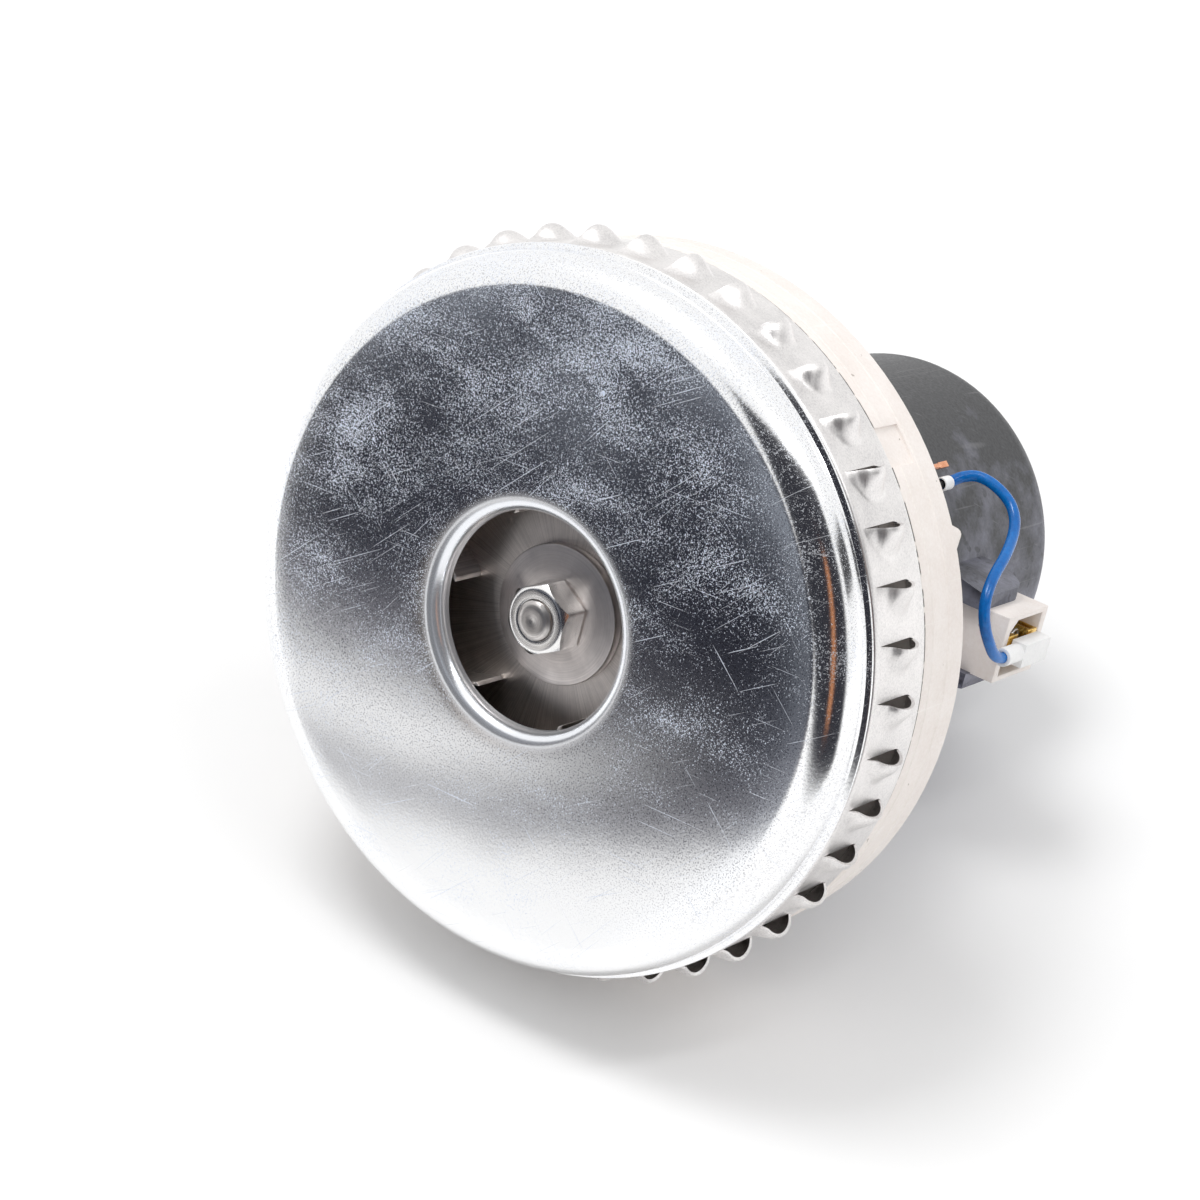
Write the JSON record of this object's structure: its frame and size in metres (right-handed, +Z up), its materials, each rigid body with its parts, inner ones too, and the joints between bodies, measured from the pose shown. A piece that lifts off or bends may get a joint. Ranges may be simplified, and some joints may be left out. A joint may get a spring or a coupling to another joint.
{
  "type": "vacuum cleaner motor unit",
  "caption": "Through-flow vacuum motor: a louvred steel fan case with a central inlet, a moulded bracket and a brush motor in a black cover.",
  "frame": {"origin": "centre of the inlet, in the plane of the pan's front face", "axes": "the shaft lies along Y with the inlet towards -Y, the brush holders lie along X, +Z is up"},
  "size_m": [0.1506, 0.145, 0.1502],
  "materials": {
    "zinc_plated_steel": "zinc-plated, lightly scratched",
    "fan_aluminium": "rolled, faintly brushed",
    "washer_steel": "satin",
    "plated_nut": "bright plated",
    "shaft_steel": "turned",
    "bearing_steel": "ground",
    "plain_steel": "zinc-plated",
    "spring_steel": "drawn wire",
    "lamination_steel": "punched sheets, dull",
    "winding_copper": "enamelled, varnished",
    "bare_copper": "bare",
    "brass": "rolled",
    "brown_resin": "moulded",
    "carbon": "pressed carbon",
    "cream_plastic": "glass-filled, matte",
    "black_plastic": "moulded, satin",
    "white_plastic": "moulded",
    "blue_insulation": "smooth sleeve",
    "black_insulation": "smooth sleeve"
  },
  "bodies": {
    "frame": {"fan_pan": "zinc_plated_steel", "louvre_shell": "zinc_plated_steel", "fan_bracket": "cream_plastic", "front_bearing_outer": "bearing_steel", "front_bearing_balls": "bearing_steel", "bearing_retainer": "plain_steel", "retainer_screws": "plain_steel", "stator_core": "lamination_steel", "upper_field_coil": "winding_copper", "lower_field_coil": "winding_copper", "brush_bracket": "cream_plastic", "rear_bearing_outer": "bearing_steel", "rear_bearing_balls": "bearing_steel", "frame_screws": "plain_steel", "brush_holder_right": "cream_plastic", "brush_holder_left": "cream_plastic", "brush_tube_right": "brass", "brush_tube_left": "brass", "brush_spring_right": "spring_steel", "brush_spring_left": "spring_steel", "flag_terminal": "white_plastic", "blue_lead": "blue_insulation", "lead_sleeve": "white_plastic", "field_wire": "black_insulation", "field_wire_end": "bare_copper", "motor_cover": "black_plastic", "cover_screws": "plain_steel"},
    "rotor": {"wheel_front_plate": "fan_aluminium", "wheel_blades": "fan_aluminium", "wheel_back_plate": "fan_aluminium", "front_washer": "washer_steel", "rear_washer": "washer_steel", "fan_nut": "plated_nut", "fan_spacer": "plain_steel", "shaft": "shaft_steel", "front_bearing_inner": "bearing_steel", "rear_bearing_inner": "bearing_steel", "armature_core": "lamination_steel", "armature_winding": "winding_copper", "commutator_hub": "brown_resin", "commutator_bars": "bare_copper", "cooling_fan": "black_plastic"},
    "brush_right": {"carbon_brush_right": "carbon"},
    "brush_left": {"carbon_brush_left": "carbon"}
  },
  "joints": [
    {"name": "rotor_spin", "type": "hinge", "parent": "frame", "child": "rotor", "pos_m": [0, 0, 0], "axis": [0, 1, 0], "continuous": true},
    {"name": "brush_right_slide", "type": "slide", "parent": "frame", "child": "brush_right", "axis": [1, 0, 0], "range_m": [0, 0.006], "stiffness_N_per_m": 300, "springref_m": -0.006, "deforming": ["brush_spring_right"]},
    {"name": "brush_left_slide", "type": "slide", "parent": "frame", "child": "brush_left", "axis": [-1, 0, 0], "range_m": [0, 0.006], "stiffness_N_per_m": 300, "springref_m": -0.006, "deforming": ["brush_spring_left"]}
  ]
}
